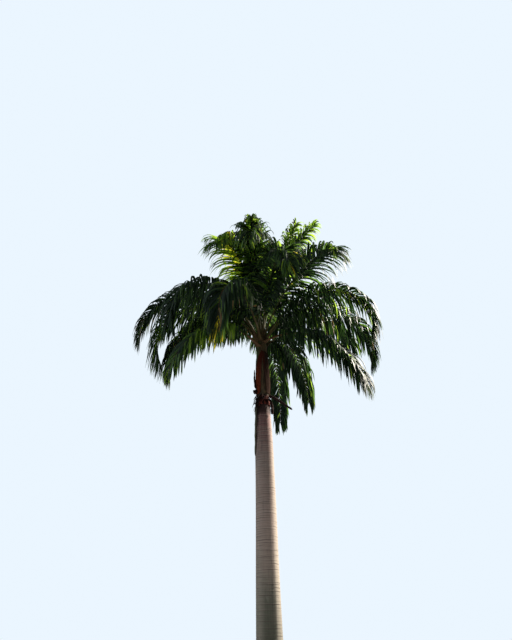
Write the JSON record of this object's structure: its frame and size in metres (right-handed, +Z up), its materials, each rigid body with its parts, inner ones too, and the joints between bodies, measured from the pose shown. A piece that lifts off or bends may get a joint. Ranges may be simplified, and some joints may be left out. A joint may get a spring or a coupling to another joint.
{
  "type": "feather palm tree",
  "caption": "Tall feather palm with a ringed grey trunk, a smooth crownshaft in a torn russet sheath, dead remains below it, and a round crown of arching fronds.",
  "frame": {"origin": "middle of the flat cut under the trunk, at ground level", "axes": "+Z up the tree, +X to the right as the picture sees it, -Y towards the viewer"},
  "size_m": [6.0834, 6.1648, 11.9096],
  "materials": {
    "bark": "matt grey-tan bark with fine ring scars",
    "dead_fibre": "dry dark brown fibre",
    "crownshaft_skin": "smooth olive-green sheath, low sheen",
    "dry_sheath": "russet dry sheath with fine stripes along it",
    "frond_old": "very dark green leaflets with a waxy sheen",
    "frond_grown": "dark green leaflets with a waxy sheen",
    "frond_young": "yellow-green leaflets with a waxy sheen"
  },
  "bodies": {
    "root": {"back_left_inner": "frond_grown", "back_left_outer": "frond_grown", "back_low_inner": "frond_old", "back_low_outer": "frond_old", "back_right_inner": "frond_grown", "back_right_outer": "frond_grown", "back_spire_inner": "frond_young", "back_spire_outer": "frond_young", "back_top_inner": "frond_young", "back_top_outer": "frond_young", "collar": "dead_fibre", "crownshaft": "crownshaft_skin", "dead_hook": "dead_fibre", "dead_knob": "dead_fibre", "dead_sliver": "dead_fibre", "flower_stub": "dead_fibre", "front_arch_inner": "frond_young", "front_arch_outer": "frond_young", "front_hook_inner": "frond_young", "front_hook_outer": "frond_young", "front_low_inner": "frond_grown", "front_low_outer": "frond_grown", "front_top_inner": "frond_young", "front_top_outer": "frond_young", "hanging_strip": "dead_fibre", "left_back_inner": "frond_old", "left_back_outer": "frond_old", "left_far_inner": "frond_grown", "left_far_outer": "frond_grown", "left_high_inner": "frond_grown", "left_high_outer": "frond_grown", "left_low_inner": "frond_grown", "left_low_outer": "frond_grown", "left_near_inner": "frond_old", "left_near_outer": "frond_old", "left_top_inner": "frond_young", "left_top_outer": "frond_young", "mid_spire_inner": "frond_young", "mid_spire_outer": "frond_young", "old_sheath": "dry_sheath", "right_back_inner": "frond_old", "right_back_outer": "frond_old", "right_far_inner": "frond_grown", "right_far_outer": "frond_grown", "right_high_inner": "frond_grown", "right_high_outer": "frond_grown", "right_near_inner": "frond_grown", "right_near_outer": "frond_grown", "right_spire_inner": "frond_young", "right_spire_outer": "frond_young", "right_top_inner": "frond_young", "right_top_outer": "frond_young", "spear_leaf": "frond_young", "trunk": "bark"}
  },
  "joints": []
}
